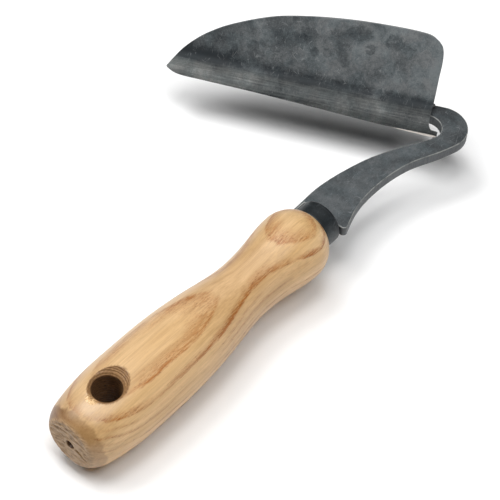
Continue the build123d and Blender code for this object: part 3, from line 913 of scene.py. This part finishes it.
    # dark spots of the scale, as (along, height, half width, half height, how dark)
    blotches = [
        (30.5, 21.5, 2.6, 2.6, 0.20), (20.5, 26.8, 4.4, 3.8, 0.17), (36.0, 27.6, 6.8, 3.4, 0.15),
        (54.0, 15.7, 2.3, 2.1, 0.11), (48.5, 16.2, 2.3, 2.1, 0.11), (89.0, 9.3, 1.8, 3.0, 0.15),
        (81.0, 13.0, 2.8, 2.6, 0.10), (21.0, 2.2, 1.5, 1.2, 0.22), (28.0, 2.8, 2.8, 0.5, 0.20),
        (59.5, 22.0, 6.0, 4.6, 0.10), (100.0, 6.0, 7.0, 3.0, 0.10), (58.0, -3.0, 22.0, 7.5, 0.12),
    ]
    obj.data.materials.append(steel(
        "blade_steel", rgb(40, 44, 47), rgb(78, 82, 84), rgb(116, 119, 120), flat=("along", "height"),
        drift=(0.22, -0.08, -0.14, 0.05), blotches=blotches, rough=0.62, metal=0.25, gloss=0.3,
        edge=rgb(128, 130, 128), bare=rgb(232, 224, 216)))
    return obj


# ---- welds -------------------------------------------------------------------------------------------
def bead(name, node, start, end, radius, pitch, seed):
    """A weld run of overlapping frozen drops between two points, each (along, towards the butt, up)."""
    ahead, front = blade_axes()

    def at(p):
        return np.array([BLADE_AT[0], BLADE_AT[1], p[2]]) + ahead * p[0] + front * p[1]

    a, b = at(start), at(end)
    run = b - a
    length = np.linalg.norm(run)
    run = run / length
    side = np.cross(run, (0, 0, 1.0))
    side /= np.linalg.norm(side)
    up = np.cross(side, run)
    rows, around = 20 + int(length * 9), 40
    verts = []
    for i in range(rows):
        t = -radius * 0.98 + (length + 1.96 * radius) * i / (rows - 1)
        over = max(0.0, -t, t - length)
        cap = math.sqrt(max(0.0, 1 - (over / radius) ** 2))
        ripple = 1 - 0.13 * abs(math.sin(math.pi * t / pitch)) ** 0.6
        for j in range(around):
            q = 2 * math.pi * j / around
            skew = 0.3 * math.cos(q)
            lump = waver((t, math.cos(q) * 2, math.sin(q) * 2), (0.8, 0.6, 0.6), seed)
            rr = radius * cap * ripple * (0.97 + 0.06 * lump)
            p = a + run * (t + skew * cap) + side * rr * math.cos(q) + up * rr * math.sin(q)
            verts.append(p)
    faces = grid_faces(rows, around, wrap_cols=True)
    faces.append(tuple(range(around))[::-1])
    faces.append(tuple(range((rows - 1) * around, rows * around)))
    obj = make(name, np.array(verts), faces)
    outward(obj)
    stand_for(obj, node)
    shared = bpy.data.materials.get("weld_metal")
    obj.data.materials.append(shared or steel(
        "weld_metal", rgb(44, 44, 46), rgb(72, 72, 72), rgb(104, 102, 98), rough=0.42))
    return obj


objects = [
    handle(),
    ferrule(),
    shank(),
    blade(),
    bead("weld_rear_bead", "weld_rear", (-0.3, -1.9, 2.9), (14.0, -1.9, 2.9), 1.6, 1.25, 3.0),
    bead("weld_toe_bead", "weld_toe", (-4.3, 11.5, -1.9), (-6.2, 12.9, -1.9), 1.05, 1.0, 9.0),
]

# ---- floor: the handle lies on it, with the blade held clear of it -------------------------------------
FLOOR_SLOPE = (0.0, -0.03)        # rise per unit along x and along y
FLOOR_REACH = 4.0                 # metres from its middle to each side
handle_x, handle_y, handle_z = coords(objects[0]).T
ground_z = (handle_z - FLOOR_SLOPE[0] * handle_x - FLOOR_SLOPE[1] * handle_y).min() * MM


def floor_point(x, y):
    return (x, y, ground_z + FLOOR_SLOPE[0] * x + FLOOR_SLOPE[1] * (y + HOLE_Y * MM))


corners = [floor_point(x * FLOOR_REACH, y * FLOOR_REACH) for x, y in ((-1, -1), (1, -1), (1, 1), (-1, 1))]
mesh = bpy.data.meshes.new("floor")
mesh.from_pydata(corners, [], [(0, 1, 2, 3)])
floor = bpy.data.objects.new("floor", mesh)
bpy.context.scene.collection.objects.link(floor)
paper = Look("floor_paper")
cloudy = paper.noise(paper.position(), 0.02, 3.0)
white = paper.ramp(cloudy, [(0.3, (0.93, 0.93, 0.93)), (0.7, (0.95, 0.95, 0.95))])
paper.finish(Base_Color=white, Roughness=0.9)
mesh.materials.append(paper.mat)

# ---- camera: where it stands, and which ways its picture's right and down point ------------------------
CAMERA_AT = (0.26034, -0.25743, 0.54936)
PICTURE_RIGHT = Vector((0.75683, 0.65213, 0.0439)).normalized()
PICTURE_DOWN = Vector((0.52868, -0.5713, -0.62779)).normalized()
SENSOR_WIDTH = 36.0               # mm
FOCAL_LENGTH = 126.0              # mm
cam_data = bpy.data.cameras.new("camera")
cam_data.sensor_width = SENSOR_WIDTH
cam_data.lens = FOCAL_LENGTH
cam_data.clip_end = 20.0
cam = bpy.data.objects.new("camera", cam_data)
bpy.context.scene.collection.objects.link(cam)
axes = (PICTURE_RIGHT, -PICTURE_DOWN, PICTURE_RIGHT.cross(-PICTURE_DOWN))
cam.matrix_world = Matrix.Translation(CAMERA_AT) @ Matrix(axes).transposed().to_4x4()
bpy.context.scene.camera = cam


# ---- light: a broad soft ceiling, a little stronger over the tool's left -------------------------------
LIGHT_AIM = Vector((-0.02, 0.09, 0.0))
LIGHT_AWAY = 1.2                  # metres from there to each lamp
LIGHT_SIZE = 0.5                  # metres across each lamp
# each light's name, its rise above level and its bearing from +x in degrees, and its power in watts
LIGHTS = [
    ("left", 65, 180, 6.8), ("above", 90, 0, 6.5), ("right", 65, 0, 5.2),
    ("near_left", 45, 216, 3.2), ("front_left", 65, 240, 1.1), ("low_right", 12, 25, 0.8),
]
for name, rise, bearing, watts in LIGHTS:
    rise, bearing = math.radians(rise), math.radians(bearing)
    way = Vector((math.cos(rise) * math.cos(bearing), math.cos(rise) * math.sin(bearing), math.sin(rise)))
    data = bpy.data.lights.new(name, "AREA")
    data.shape = "DISK"
    data.size = LIGHT_SIZE
    data.energy = watts
    lamp = bpy.data.objects.new(name, data)
    bpy.context.scene.collection.objects.link(lamp)
    lamp.location = LIGHT_AIM + way * LIGHT_AWAY
    lamp.rotation_euler = (-way).to_track_quat("-Z", "Y").to_euler()
world = bpy.data.worlds.new("studio")
bpy.context.scene.world = world
world.use_nodes = True
world.node_tree.nodes["Background"].inputs[0].default_value = (1.0, 1.0, 1.0, 1.0)
world.node_tree.nodes["Background"].inputs[1].default_value = 0.0
bpy.context.scene.view_settings.view_transform = "Standard"
bpy.context.scene.view_settings.look = "None"
